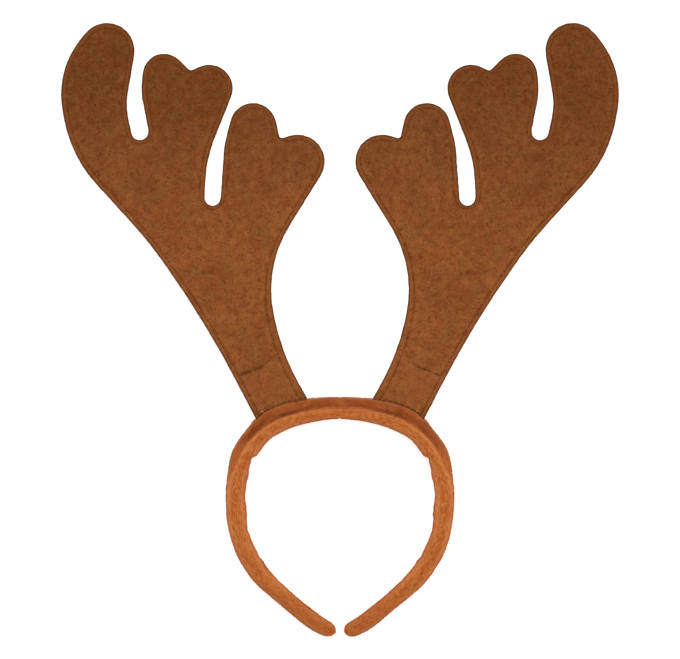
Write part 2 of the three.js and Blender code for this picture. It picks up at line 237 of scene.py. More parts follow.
def paint(mesh, name, values):
    """Stores one number, or one vector, for each vertex, for the materials to read."""
    values = np.asarray(values, np.float32)
    if values.ndim == 1:
        mesh.attributes.new(name, "FLOAT", "POINT").data.foreach_set("value", values)
    else:
        mesh.attributes.new(name, "FLOAT_VECTOR", "POINT").data.foreach_set("vector", values.ravel())


def merged(mesh):
    """A mesh's points and triangles with the points that coincide made one."""
    points, triangles = points_of(mesh), triangles_of(mesh)
    _, first, same = np.unique(np.round(points, 7), axis=0, return_index=True, return_inverse=True)
    return points[first], same.ravel()[triangles]


def vertex_values(mesh, kind):
    values = np.empty(3 * len(mesh.vertices))
    mesh.vertices.foreach_get(kind, values)
    return values.reshape(-1, 3)


def points_of(mesh):
    return vertex_values(mesh, "co")


def triangles_of(mesh):
    mesh.calc_loop_triangles()
    corners = np.empty(3 * len(mesh.loop_triangles), np.int32)
    mesh.loop_triangles.foreach_get("vertices", corners)
    return corners.reshape(-1, 3)


def side_name(side):
    """The name of a side, -1 or 1."""
    return "left" if side < 0 else "right"


def upright(count):
    """The direction straight up, once for each strand."""
    return np.tile([0.0, 0.0, 1.0], (count, 1))


def flat_points(points):
    """Points of the plane with a height of nothing."""
    return np.column_stack([points, np.zeros(len(points))])


def run_of(line):
    """The distance along a line at each of its points."""
    return np.concatenate([[0], np.cumsum(np.linalg.norm(np.diff(line, axis=0), axis=1))])


def unit(vectors):
    return vectors / np.maximum(np.linalg.norm(vectors, axis=-1, keepdims=True), 1e-12)


def strands(centres, radii, sides, up, pointed):
    """Many short closed tubes. centres is (strand, ring, 3), radii one for each ring, up (strand, 3).

    One side of each tube faces up, so that it takes the light as the surface under it does.
    """
    count, rings = centres.shape[:2]
    along = unit(np.gradient(centres, axis=1))
    across = unit(np.cross(along, up[:, None, :]))
    over = np.cross(across, along)
    angles = 2 * math.pi * np.arange(sides) / sides + math.pi / 2 - math.pi / sides
    ring = (
        across[:, :, None, :] * np.cos(angles)[None, None, :, None]
        + over[:, :, None, :] * np.sin(angles)[None, None, :, None]
    )
    points = centres[:, :, None, :] + ring * np.asarray(radii)[None, :, None, None]
    side = np.arange(sides)
    step = (side + 1) % sides
    last = (rings - 1) * sides
    squares = np.stack([side, step, step + sides, side + sides], 1)
    wall = np.concatenate([squares + r * sides for r in range(rings - 1)])
    start, end = side[::-1][None, :], (side + last)[None, :]
    flat = points.reshape(count, -1, 3)
    if pointed:
        before = last - sides
        wall = wall[:before]
        end = np.stack([side + before, step + before, np.full(sides, last)], 1)
        flat = np.concatenate([flat[:, :last], centres[:, -1:, :]], axis=1)
    stride = flat.shape[1]
    shift = (np.arange(count) * stride)[:, None, None]
    faces = [(f[None] + shift).reshape(-1, f.shape[1]) for f in (wall, start, end)]
    return flat.reshape(-1, 3), faces


# The hoop as coordinates


def hoop_runs():
    heading, along = 0.0, 0.0
    point = np.array(HOOP_TOP)
    runs = []
    for radius, degrees in HOOP_ARCS:
        sweep = math.radians(degrees)
        centre = point - radius * np.array([math.sin(heading), math.cos(heading)])
        runs.append((radius, centre, heading, along, along + radius * sweep))
        heading += sweep
        along += radius * sweep
        point = centre + radius * np.array([math.sin(heading), math.cos(heading)])
    return runs


HOOP = hoop_runs()
HALF_LENGTH = HOOP[-1][4]


def hoop_place(points):
    """Distance along the hoop, distance outside it, and the direction along it, for each point."""
    x, y = np.abs(points[:, 0]), points[:, 1]
    best = np.full(len(points), np.inf)
    along, out, heading = (np.zeros(len(points)) for _ in range(3))
    for radius, centre, start_heading, start, end in HOOP:
        turn = np.arctan2(x - centre[0], y - centre[1])
        here = start + (turn - start_heading) * radius
        held = np.clip(here, start, end)
        miss = np.abs(here - held)
        better = miss < best
        best = np.where(better, miss, best)
        along = np.where(better, held, along)
        out = np.where(better, np.hypot(x - centre[0], y - centre[1]) - radius, out)
        heading = np.where(better, start_heading + (held - start) / radius, heading)
    side = np.where(points[:, 0] < 0, -1.0, 1.0)
    direction = np.stack([side * np.cos(heading), -np.sin(heading), np.zeros_like(side)], 1)
    return along * side, out, direction * side[:, None]


def hoop_point(along, out):
    """The place at a distance along the hoop, negative on its left half, and a distance outside it."""
    reach, point = np.abs(along), np.zeros((len(along), 2))
    for radius, centre, start_heading, start, end in HOOP:
        turn = start_heading + (reach - start) / radius
        here = centre + (radius + out)[:, None] * np.stack([np.sin(turn), np.cos(turn)], 1)
        point = np.where((reach >= start)[:, None], here, point)
    point[:, 0] *= np.where(along < 0, -1.0, 1.0)
    return point


class BandMap:
    """Coordinates and zones on the headband: padding, crease and seam ridge."""

    STEP = 1.5 * MM

    def __init__(self, node):
        surface = surface_points(node)
        along, out, _ = hoop_place(surface)
        starts = np.arange(0, HALF_LENGTH, self.STEP)
        index = np.clip((np.abs(along) / self.STEP).astype(int), 0, len(starts) - 1)
        self.low, self.high, self.top = (np.full(len(starts), value) for value in (np.inf, -np.inf, 0.0))
        np.minimum.at(self.low, index, out)
        np.maximum.at(self.high, index, out)
        np.maximum.at(self.top, index, surface[:, 2])
        self.places = starts + self.STEP / 2

    def inner(self, along):
        return np.interp(np.abs(along), self.places, self.low)

    def crest(self, along):
        return np.interp(np.abs(along), self.places, self.high)

    def rounded_height(self, along, out, z):
        """The height of a point moved up or down to the full rounded section that spans to the crest."""
        inner, crest = self.inner(along), self.crest(along)
        middle = np.interp(np.abs(along), self.places, self.top) / 2
        share = np.clip(np.abs(2 * out - inner - crest) / (crest - inner), 0, 1)
        full = middle * (1 - share**ROUNDNESS) ** (1 / ROUNDNESS)
        return middle + np.sign(z - middle) * np.maximum(np.abs(z - middle), full)

    def crease(self, along):
        table = np.array(CREASE)
        return np.interp(np.abs(along), table[:, 0], table[:, 1])

    def zones(self, points):
        """Where each point lies on the band, and how strongly each part of its colour, painted shade and
        painted highlight shows there.
        """
        along, out, direction = hoop_place(points)
        inner, crease, crest = self.inner(along), self.crease(along), self.crest(along)
        reach, beyond = np.abs(along), out - crease
        height = points[:, 2] - SEAM_HEIGHT
        around = np.arctan2(out - crease / 2, height) * 7 * MM
        ridged = 1 - smoothstep(reach, *RIDGE_FADES)
        beyond_crease = smoothstep(beyond, -0.3 * MM, 0.8 * MM) * ridged
        merging = smoothstep(reach, *RIDGE_MERGES)
        off_middle = smoothstep(np.abs(height), 1.5 * MM, 3.0 * MM)
        place, width = CREASE_DEEPEST
        deep = CREASE_LEAST + (1 - CREASE_LEAST) * bell(reach - place, width)
        near_crease = deep * bell(beyond, 1.0 * MM) * off_middle * (1 - merging)
        place, width = SHOULDER_DARKEST
        shoulder = SHOULDER_SHADE * beyond_crease * bell(reach - place, width)
        shoulder *= bell(beyond - 1.5 * MM, 3 * MM)
        feet = FEET_SHADE * beyond_crease * smoothstep(reach, *FEET_BEGIN)
        ends = ENDS_SHADE * smoothstep(reach, *ENDS_BEGIN)
        core_edge = crease * ridged + crest * (1 - ridged)
        across = (out - inner) / (core_edge - inner)
        rim_highlights = 0
        for fades, at, width in RIM_HIGHLIGHTS:
            rim_highlights = rim_highlights + (1 - RIM_HIGHLIGHT_LOSS * smoothstep(reach, *fades)) * bell(across - at, width)
        # The seam ridge's upper edge gets a painted highlight as well
        rim_highlights = np.maximum(rim_highlights, RIDGE_RIM_HIGHLIGHT * ridged * smoothstep(out, crest - 1.8 * MM, crest - 0.5 * MM))
        return {
            "along": along,
            "out": out,
            "direction": direction,
            "hoop": np.column_stack([along, around, np.zeros(len(points))]),
            "height": height,
            # The seam ridge's darker, redder colour: partly its own nap, partly painted shade of the
            # recessed ridge
            "ridge": beyond_crease * (1 - 0.85 * smoothstep(reach, *RIDGE_TINT_AND_SHADE_FADES)),
            "sinking": 0.85 * merging * smoothstep(beyond, -3.5 * MM, 0),
            "sewn": near_crease,
            # Painted shade: in the crease, on the shoulders, on the seam ridge beside the feet, and darker
            # towards the free ends
            "shade": np.max([near_crease, shoulder, feet, ends], axis=0),
            "rim_highlights": rim_highlights * (0.75 + 0.25 * noise(points, 11 * MM, 51)),
            "inner_side": 1 - smoothstep(out - inner, 1 * MM, 6 * MM),
            "outer_side": smoothstep(out - crest, -6 * MM, -1 * MM),
        }

    def paint(self, mesh, zones, repeats=1):
        """Stores the zones that the materials read, each repeated for a strand's several points."""
        for name in ("hoop", "ridge", "shade", "rim_highlights"):
            paint(mesh, name, np.repeat(zones[name], repeats, axis=0))


def surface_points(node):
    """Points all over a node's triangles, close enough together to read its outline from."""
    points, triangles = merged(node.data)
    a, b, c = (points[triangles[:, i]] for i in range(3))
    parts = 6
    shares = [(i / parts, j / parts) for i in range(parts + 1) for j in range(parts + 1 - i)]
    return np.concatenate([a + (b - a) * u + (c - a) * v for u, v in shares])


# Felt antlers


def outline_of(node):
    """The outline of a flat layer seen from above, anticlockwise, and its upper height along Y."""
    points, triangles = merged(node.data)
    a, b, c = (points[triangles[:, i]] for i in range(3))
    upward = unit(np.cross(b - a, c - a))[:, 2] > 0.5
    top = triangles[upward]
    edges = np.concatenate([top[:, [0, 1]], top[:, [1, 2]], top[:, [2, 0]]])
    twins = {(int(p), int(q)) for p, q in edges}
    follow = {p: q for p, q in twins if (q, p) not in twins}
    start = min(follow)
    loop = [start]
    while follow[loop[-1]] != start:
        loop.append(follow[loop[-1]])
    rim = points[loop]
    order = np.argsort(rim[:, 1])
    return rim[:, :2], rim[order, 1], rim[order, 2]


def resampled(loop, step):
    """A closed line as evenly spaced points."""
    closed = np.vstack([loop, loop[:1]])
    reach = run_of(closed)
    count = int(round(reach[-1] / step))
    at = np.linspace(0, reach[-1], count, endpoint=False)
    return np.stack([np.interp(at, reach, closed[:, i]) for i in (0, 1)], 1)


def softened(loop, rounds):
    for _ in range(rounds):
        loop = 0.5 * loop + 0.25 * (np.roll(loop, 1, 0) + np.roll(loop, -1, 0))
    return loop


def inward(loop):
    """The unit normals of an anticlockwise loop, pointing into it."""
    along = unit(np.roll(loop, -1, 0) - np.roll(loop, 1, 0))
    return np.stack([-along[:, 1], along[:, 0]], 1)


def tree_of(points):
    tree = KDTree(len(points))
    for i, p in enumerate(points):
        tree.insert((p[0], p[1], 0.0), i)
    tree.balance()
    return tree


def distances(tree, points):
    return np.array([tree.find((p[0], p[1], 0.0))[2] for p in points])


def thinned(points, spacing):
    """Keeps the first point in each square of a grid with the spacing."""
    kept, cells = [], set()
    for p in points:
        cell = (int(math.floor(p[0] / spacing)), int(math.floor(p[1] / spacing)))
        if cell not in cells:
            cells.add(cell)
            kept.append(p)
    return np.array(kept)


def hex_grid(low, high, step):
    rows = np.arange(low[1], high[1], step * math.sqrt(3) / 2)
    across = np.arange(low[0], high[0], step)
    grid = [np.stack([across + (i % 2) * step / 2, np.full(len(across), y)], 1) for i, y in enumerate(rows)]
    return np.concatenate(grid)


def within(loop, points):
    """Which points lie inside a closed line."""
    start, end = loop, np.roll(loop, -1, 0)
    inside = np.zeros(len(points), bool)
    for (x0, y0), (x1, y1) in zip(start, end):
        if y0 == y1:
            continue
        spans = (points[:, 1] >= min(y0, y1)) & (points[:, 1] < max(y0, y1))
        at = x0 + (points[:, 1] - y0) * (x1 - x0) / (y1 - y0)
        inside ^= spans & (points[:, 0] < at)
    return inside


def filled(loop, inner):
    """Triangles over the inside of a loop, with corners at the loop's points and at the inner ones."""
    corners = [Vector(p) for p in np.vstack([loop, inner[within(loop, inner)]])]
    count = len(loop)
    edges = [(i, (i + 1) % count) for i in range(count)]
    points, _, faces, origins, _, _ = delaunay_2d_cdt(corners, edges, [], 0, 1e-7, True)
    points = np.array([(p.x, p.y) for p in points])
    faces = np.array(faces)
    a, b, c = (points[faces[:, i]] for i in range(3))
    area = (b[:, 0] - a[:, 0]) * (c[:, 1] - a[:, 1]) - (b[:, 1] - a[:, 1]) * (c[:, 0] - a[:, 0])
    faces[area < 0] = faces[area < 0][:, ::-1]
    faces = faces[within(loop, (a + b + c) / 3)]
    place = {origin: i for i, group in enumerate(origins) for origin in group}
    rim = np.array([place[i] for i in range(count)])
    return points, faces, rim


class Antler:
    """What the two layers of one antler share: outline, stitch lines, height and gentle waves."""

    def __init__(self, side, front, back, band_map):
        self.side = side
        self.band_map = band_map
        raw, *front_heights = outline_of(front)
        _, *back_heights = outline_of(back)
        self.foot_y = raw[:, 1].min()
        self.loop = softened(resampled(raw, OUTLINE_STEP), 2)
        self.tree = tree_of(resampled(raw, OUTLINE_STEP / 3))
        self.heights_at = np.linspace(self.foot_y, raw[:, 1].max(), 200)
        self.tops = {"front": self.even(*front_heights), "back": self.even(*back_heights)}
        self.thickness = self.tops["back"].min()
        self.hem = self.hem_line()
        self.cross = self.cross_seam()
        self.sewn = tree_of(np.vstack([self.hem, self.cross]))

    def even(self, y, z):
        """Heights on an even scale of Y, with the solid's few bends smoothed out."""
        order = np.argsort(y)
        heights = np.interp(self.heights_at, y[order], z[order])
        for _ in range(60):
            heights[1:-1] = 0.5 * heights[1:-1] + 0.25 * (heights[:-2] + heights[2:])
        return heights

    def hem_line(self):
        """The line of stitches that runs round the antler inside its edge."""
        loop = softened(self.loop, 4)
        normals = inward(loop)
        neck = (np.abs(loop[:, 0]) < NECK_REACH) & (normals[:, 0] * self.side > 0.5)
        above = smoothstep(loop[:, 1] - self.foot_y, *NECK_FADES)
        inset = softened(STITCH_INSET + (NECK_INSET - STITCH_INSET) * neck * above, 12)
        line = loop + normals * inset[:, None]
        keep = distances(self.tree, line) > 0.93 * inset
        line = softened(line[keep], 3)
        return resampled(line, 0.3 * MM)

    def cross_seam(self):
        """The seam across the antler just above its foot."""
        bends = np.array(CROSS_SEAM)
        x = np.linspace(bends[0, 0], bends[-1, 0], 90)
        y = np.interp(x, bends[::-1, 0], bends[::-1, 1])
        return np.stack([x * self.side, y], 1)

    def waves(self, points):
        """How far the felt is lifted by its gentle waves, the same for both layers."""
        lift = 0.5 + 0.5 * layered(flat_points(points) + self.side, (0.075, 0.060, 1), 21, 2)
        free = smoothstep(points[:, 1] - self.foot_y, 0.030, 0.090)
        return WAVE_HEIGHT * np.clip(lift, 0, 1.4) ** 1.5 * free

    def height(self, points, layer):
        return np.interp(points[:, 1], self.heights_at, self.tops[layer]) + self.waves(points)


def relief(antler, points, edge, sewn):
    """How far an outer face stands above its flat place: rounded edge, groove, puff and fibres."""
    p = flat_points(points)
    rounding = -0.55 * MM * (1 - smoothstep(edge, 0, 0.9 * MM)) ** 2
    along_groove = 0.75 + 0.25 * noise(p, 2.2 * MM, 5)
    groove = -GROOVE_DEPTH * bell(sewn, GROOVE_WIDTH) * along_groove
    puff = 0.35 * MM * smoothstep(edge, 3.2 * MM, 11 * MM)
    rough = 0.09 * MM * layered(p, 2.4 * MM, 11, 3) * smoothstep(edge, 0, 1.5 * MM)
    dents = 0.16 * MM * layered(p, 9 * MM, 17, 2) * smoothstep(edge, 2 * MM, 8 * MM)
    pressed = sum(-depth * mark for mark, depth, _ in press_marks(antler, points))
    return rounding + groove + puff + rough + dents + pressed


def press_marks(antler, points):
    """Each press mark's shape over the points, with its depth and the darkness of its painted shade."""
    for x, y, turn, length, width, depth, shade in PRESS_MARKS:
        dx, dy = points[:, 0] * antler.side - x, points[:, 1] - y
        along = dx * math.cos(turn) + dy * math.sin(turn)
        across = -dx * math.sin(turn) + dy * math.cos(turn)
        yield bell(along, length * MM) * bell(across, width * MM), depth * MM, shade


def fine_net(antler, loop):
    """The net of an outer face, with rows of corners beside its edge and its sewing."""
    rows = [antler.loop + inward(antler.loop) * d * MM for d in (0.4, 0.9, 1.6)]
    hem, hem_in = antler.hem[::3], inward(antler.hem)[::3]
    cross, up_cross = antler.cross[::2], np.array([0.35, 0.94])
    beside = (0, -0.4, 0.4, -0.85, 0.85)
    rows += [hem + hem_in * d * MM for d in (*beside, 1.6)]
    rows += [cross + up_cross * d * MM for d in beside]
    near = np.concatenate(rows)
    near = near[distances(antler.tree, near) > 0.33 * MM]
    grid = hex_grid(loop.min(0), loop.max(0), 1.55 * MM)
    clear = (distances(antler.tree, grid) > 1.9 * MM) & (distances(antler.sewn, grid) > 1.3 * MM)
    return filled(loop, thinned(np.concatenate([near, grid[clear]]), 0.36 * MM))


def plain_net(antler, loop):
    """The coarser net of the face that lies against the other layer."""
    grid = hex_grid(loop.min(0), loop.max(0), 6 * MM)
    return filled(loop, grid[distances(antler.tree, grid) > 2.5 * MM])


def felt_layer(antler, layer, material):
    """One closed felt layer: its outer face is fine and worked, the face towards its twin is plain."""
    front = layer == "front"
    wobble = noise(flat_points(antler.loop), 2.5 * MM, 31 if front else 32)
    loop = antler.loop - inward(antler.loop) * (EDGE_WOBBLE * wobble)[:, None]
    points, faces, rim = fine_net(antler, loop)
    plain_points, plain_faces, plain_rim = plain_net(antler, loop)

    edge, sewn = distances(antler.tree, points), distances(antler.sewn, points)
    edge[rim] = 0
    worked = relief(antler, points, edge, sewn)
    outer_z, plain_z = antler.height(points, layer), antler.height(plain_points, layer)
    if front:
        outer_z, plain_z = outer_z + worked, plain_z - antler.thickness
    else:
        outer_z = outer_z - antler.thickness - worked
    outer_z = np.maximum(outer_z, 0)

    wall_rows = side_wall(loop, outer_z[rim], plain_z[plain_rim])
    outer, plain = np.column_stack([points, outer_z]), np.column_stack([plain_points, plain_z])
    all_points = np.vstack([outer, plain, *wall_rows])
    count = len(points)
    first = count + len(plain_points) + np.arange(len(loop))
    ladder = [rim, first, first + len(loop), count + plain_rim]
    plain_faces = plain_faces + count
    if front:
        plain_faces = plain_faces[:, ::-1]
    else:
        faces, ladder = faces[:, ::-1], ladder[::-1]
    rungs = zip(ladder, ladder[1:])
    walls = [np.stack([low, high, np.roll(high, -1), np.roll(low, -1)], 1) for high, low in rungs]
    name = f"felt_{side_name(antler.side)}_{layer}"
    piece = new_piece(name, all_points, [faces, plain_faces, *walls], material)

    others = len(all_points) - count
    edge, sewn = np.append(edge, np.zeros(others)), np.append(sewn, np.full(others, UNSEWN))
    paint_felt(piece.data, antler, edge, sewn)
    return piece


def side_wall(loop, outer_z, plain_z):
    """Two rows of points between a layer's faces, bulging a little, as a cut felt edge does."""
    normals = -inward(loop)
    rows = []
    for k, (share, bulge) in enumerate(((0.35, 0.14), (0.75, 0.10))):
        z = outer_z + (plain_z - outer_z) * share
        fray = 1 + 0.6 * noise(np.column_stack([loop, z]), 1.3 * MM, 41 + k)
        rows.append(np.column_stack([loop + normals * (bulge * MM * fray)[:, None], z]))
    return rows


def paint_felt(mesh, antler, edge, sewn):
    """Masks for the felt's material, from the distances to its edge and to its sewing."""
    points = points_of(mesh)
    x, y = points[:, 0] * antler.side, points[:, 1]
    along, out, _ = hoop_place(points)
    beside_ridge = out - antler.band_map.crest(along)
    fading = 0.25 + 0.75 * smoothstep(x, 0.040, 0.052)
    in_cross = (y - antler.foot_y < 0.055) & (edge > 4.2 * MM)
    strokes = 0.5 + 0.5 * noise(points, (1.6 * MM, 9 * MM, 9 * MM), 61)
    # The foot's corners beside the ridge get painted shade, broken up in streaks
    corners = bell(edge, 3.5 * MM) * (1 - smoothstep(beside_ridge, 1 * MM, 9 * MM)) * strokes
    seam_y = np.interp(x, antler.cross[::-1, 0] * antler.side, antler.cross[::-1, 1])
    masks = {
        # rim: painted shade on the felt's cut edge
        "rim": 1 - smoothstep(edge, 0.15 * MM, 1.0 * MM),
        "hem": smoothstep(edge, 0.6 * MM, 1.2 * MM) * (1 - smoothstep(edge, 2.2 * MM, 3.6 * MM)),
        # groove: painted shade in the groove along the sewing, stronger over the outer part of the cross
        # seam
        "groove": bell(sewn, 0.75 * MM) * np.where(in_cross, 2.1 * fading, 1),
        # joint: painted shade where the felt meets the seam ridge, and in the foot's corners beside it
        "joint": np.maximum(0.6 * bell(beside_ridge, 0.7 * MM), corners),
        "foot": 1 - smoothstep(y - seam_y, -0.6 * MM, 0.6 * MM),
        "tips": smoothstep(y - antler.foot_y, 0.100, 0.225),
        "border": smoothstep(edge, 1.0 * MM, 2.0 * MM) * (1 - smoothstep(edge, 3.5 * MM, 9.0 * MM)),
        # marks: painted shade in the press marks' creases
        "marks": sum(shade * mark for mark, _, shade in press_marks(antler, points)),
    }
    for name, values in masks.items():
        paint(mesh, name, values)


def thread(antler, layer):
    """The stitches of one face: short stretches of thread that lie in the groove."""
    stitches = []
    for line in (antler.hem, antler.cross):
        reach = run_of(line)
        for begin in np.arange(0, reach[-1] - STITCH_PITCH, STITCH_PITCH):
            at = begin + STITCH_LENGTH * STITCH_SHARES
            stitches.append(np.stack([np.interp(at, reach, line[:, i]) for i in (0, 1)], 1))
    flat = np.array(stitches)
    flat = flat[flat[:, 2, 1] > antler.foot_y + 3 * MM]
    count, rings = flat.shape[:2]
    spots = flat.reshape(-1, 2)
    rise = np.tile(STITCH_RISES, count)
    face = antler.height(spots, layer)
    face = face + rise if layer == "front" else face - antler.thickness - rise
    centres = np.column_stack([spots, np.maximum(face, THREAD_RADIUS)]).reshape(count, rings, 3)
    return strands(centres, STITCH_RADII, 6, upright(count), False)


def sewing(antler, material):
    (points, faces), (more, more_faces) = (thread(antler, layer) for layer in ("front", "back"))
    faces += [f + len(points) for f in more_faces]
    return new_piece(f"stitches_{side_name(antler.side)}", np.vstack([points, more]), faces, material)


def scatter(mesh, count, seed, wanted):
    """Random points on a mesh's triangles as each is wanted, the normals there and the generator."""
    rng = np.random.default_rng(seed)
    points, triangles = points_of(mesh), triangles_of(mesh)
    a, b, c = (points[triangles[:, i]] for i in range(3))
    cross = np.cross(b - a, c - a)
    area = np.linalg.norm(cross, axis=1) * wanted((a + b + c) / 3, unit(cross))
    pick = rng.choice(len(triangles), count, p=area / area.sum())
    u, v = rng.random((2, count))
    flip = u + v > 1
    u, v = np.where(flip, 1 - u, u), np.where(flip, 1 - v, v)
    spots = a[pick] + (b - a)[pick] * u[:, None] + (c - a)[pick] * v[:, None]
    return spots, unit(cross)[pick], rng


def hairs(kind, spots, normals, lean, rng, fluffy=1):
    """Pointed strands that lean along a surface, each rooted just under its spot."""
    lengths, lifts, root, radius = kind
    length = rng.uniform(*lengths, len(spots))[:, None] * MM
    lift = (rng.uniform(*lifts, len(spots)) * fluffy)[:, None]
    start = spots - normals * root * MM
    end = spots + (lean + normals * lift) * length
    centres = np.stack([start, end], 1)
    centres[:, :, 2] = np.maximum(centres[:, :, 2], radius)
    return strands(centres, np.array([radius, 0]), 3, normals, True)


def felt_fibres(antler, layer_objects, material):
    """Loose fibres on the outer faces and the cut edges of an antler's two layers."""
    points, faces, offset = [], [], 0
    for obj, sign in zip(layer_objects, (1, -1)):
        def wanted(_, normals):
            outward_facing = sign * normals[:, 2] > 0.3
            edge = np.abs(normals[:, 2]) < 0.5
            return np.where(outward_facing, 1.0, np.where(edge, 4.0, 0.0))

        spots, normals, rng = scatter(obj.data, FELT_FIBRES // 2, 60 + sign + antler.side, wanted)
        clear = spots[:, 1] > antler.foot_y + 12 * MM
        spots, normals = spots[clear], normals[clear]
        lean = unit(np.cross(normals, unit(rng.normal(size=(len(spots), 3)))))
        new_points, new_faces = hairs(FIBRES, spots, normals, lean, rng)
        points.append(new_points)
        faces += [f + offset for f in new_faces]
        offset += len(new_points)
    return new_piece(f"felt_fibres_{side_name(antler.side)}", np.vstack(points), faces, material, False)


def joint_stitches(antler, tree, material):
    """Dark stitches that hold an antler's foot in the seam ridge, on its front and its back."""
    rng = np.random.default_rng(40 + antler.side)
    along = np.arange(0.020, 0.070, JOINT_PITCH) * antler.side
    crest = antler.band_map.crest(along)
    middle = hoop_point(along, crest)
    in_foot = within(antler.loop, middle) & (distances(antler.tree, middle) > 1.2 * MM)
    along, crest = along[in_foot], crest[in_foot]
    stitches = []
    for s, c in zip(along, crest):
        reach = rng.uniform(0.7, 1.3) * MM
        slant = rng.uniform(0.2, 0.7) * MM
        line = hoop_point(s + JOINT_SHARES * slant, c + 0.2 * MM + JOINT_SHARES * reach)
        for sign in (1, -1):
            heights = [surface_height(tree, spot, sign) for spot in line]
            if None not in heights:
                stitches.append(np.column_stack([line, np.array(heights) + sign * JOINT_RISES]))
    points, faces = strands(np.array(stitches), JOINT_RADII, 6, upright(len(stitches)), False)
    return new_piece(f"joint_stitches_{side_name(antler.side)}", points, faces, material)


def thread_knot(antler, tree, material):
    """A small knot of light thread, wound on itself, that lies on the foot beside the ridge."""
    along, beyond = KNOT
    along = np.array([along * antler.side])
    centre = hoop_point(along, antler.band_map.crest(along) + beyond)[0]
    rng = np.random.default_rng(50 + antler.side)
    turn = np.linspace(0, 5 * math.pi, 60)
    tilt = rng.uniform(0, math.pi, 3)
    reach = KNOT_RADIUS * (0.55 + 0.45 * np.cos(1.7 * turn + tilt[0]))
    flat = centre + reach[:, None] * np.stack([np.cos(turn + tilt[1]), np.sin(turn + tilt[1])], 1)
    base = surface_height(tree, centre, 1)
    height = base + THREAD_RADIUS + 0.25 * MM * (1 + np.sin(2.3 * turn + tilt[2]))
    centres = np.column_stack([flat, height])[None]
    points, faces = strands(centres, np.full(len(turn), 0.8 * THREAD_RADIUS), 6, upright(1), False)
    return new_piece(f"thread_knot_{side_name(antler.side)}", points, faces, material)


def tree_over(objects):
    """Several pieces' triangles in one tree, to find their outer surface in."""
    points, triangles, offset = [], [], 0
    for obj in objects:
        points.append(points_of(obj.data))
        triangles.append(triangles_of(obj.data) + offset)
        offset += len(points[-1])
    return BVHTree.FromPolygons(np.concatenate(points).tolist(), np.concatenate(triangles).tolist())


def surface_height(tree, spot, sign):
    """The height of the outermost surface over a spot, from the front for sign 1 or the back for -1."""
    far = 0.1
    hit = tree.ray_cast((spot[0], spot[1], sign * far), (0, 0, -sign))[0]
    return None if hit is None else hit.z


# Padded band


def remeshed(node, voxel):
    """A copy of a node's mesh as an even net of small squares."""
    points, triangles = merged(node.data)
    source = new_piece("band_source", points, [triangles], None)
    net = source.modifiers.new("net", "REMESH")
    net.mode = "VOXEL"
    net.voxel_size = voxel
    evaluated = source.evaluated_get(bpy.context.evaluated_depsgraph_get())
    mesh = bpy.data.meshes.new_from_object(evaluated)
    mesh.materials.clear()
    bpy.data.objects.remove(source)
    return mesh


def relaxed(mesh, rounds):
    """Evens a net out without shrinking it much."""
    points = points_of(mesh)
    edges = np.empty(2 * len(mesh.edges), np.int32)
    mesh.edges.foreach_get("vertices", edges)
    edges = edges.reshape(-1, 2)
    degree = np.bincount(edges.ravel(), minlength=len(points))[:, None]
    for amount in [0.55, -0.50] * rounds + [0.5]:
        total = np.zeros_like(points)
        for i in (0, 1):
            for axis in range(3):
                total[:, axis] += np.bincount(edges[:, i], points[edges[:, 1 - i], axis], len(points))
        points += amount * (total / degree - points)
    mesh.vertices.foreach_set("co", points.ravel())
    mesh.update()


def slot_walls(zones, normals):
    """Which points of the band face the felt inside the slots that grip the antlers."""
    along_hoop = np.abs(np.sum(normals * zones["direction"], axis=1)) > 0.6
    towards_felt = normals[:, 2] * np.sign(zones["height"]) < -0.3
    near = (np.abs(zones["height"]) < 2.6 * MM) & (np.abs(zones["along"]) < 0.066)
    return near & (along_hoop | towards_felt)


def lifted(along, table):
    """How far a table of places, widths and heights lifts the cover at each distance along the hoop."""
    return sum(height * MM * bell(np.abs(along) - place, width * MM) for place, width, height in table)


def plush_band(node, band_map, material):
    """The cover: the band as an even net, moved by its nap, lumps, seam, folds, swells and nick."""
    mesh = remeshed(node, BAND_VOXEL)
    relaxed(mesh, 5)
    points, normals = points_of(mesh), vertex_values(mesh, "normal")
    zones = band_map.zones(points)
    along = zones["along"]
    nap = 0.09 * MM * layered(zones["hoop"], np.array([8, 1.6, 1]) * MM, 3, 2)
    lumps = 0.14 * MM * layered(points, 14 * MM, 8, 2)
    pucker = 0.6 + 0.4 * np.cos(2 * math.pi * along / (6.5 * MM))
    sewn = -0.55 * MM * zones["sewn"] * pucker
    folds, swells = lifted(along, FOLDS), lifted(along, SWELLS)
    place, width, height = NICK
    step = (place - np.abs(along)) / width
    folds += height * step * np.exp(0.5 - step**2)
    amount = nap + lumps + sewn + folds * zones["inner_side"] + swells * zones["outer_side"] - PILE_ROOM
    amount = np.where(slot_walls(zones, normals), SLOT_GRIP, amount)
    moved = points + normals * amount[:, None]
    rounded = band_map.rounded_height(along, zones["out"], points[:, 2])
    moved[:, 2] += zones["sinking"] * (rounded - points[:, 2])
    mesh.vertices.foreach_set("co", moved.ravel())
    mesh.polygons.foreach_set("use_smooth", np.full(len(mesh.polygons), True))
    mesh.update()
    band_map.paint(mesh, zones)
    mesh.name = "plush_band"
    return new_object("plush_band", mesh, material)


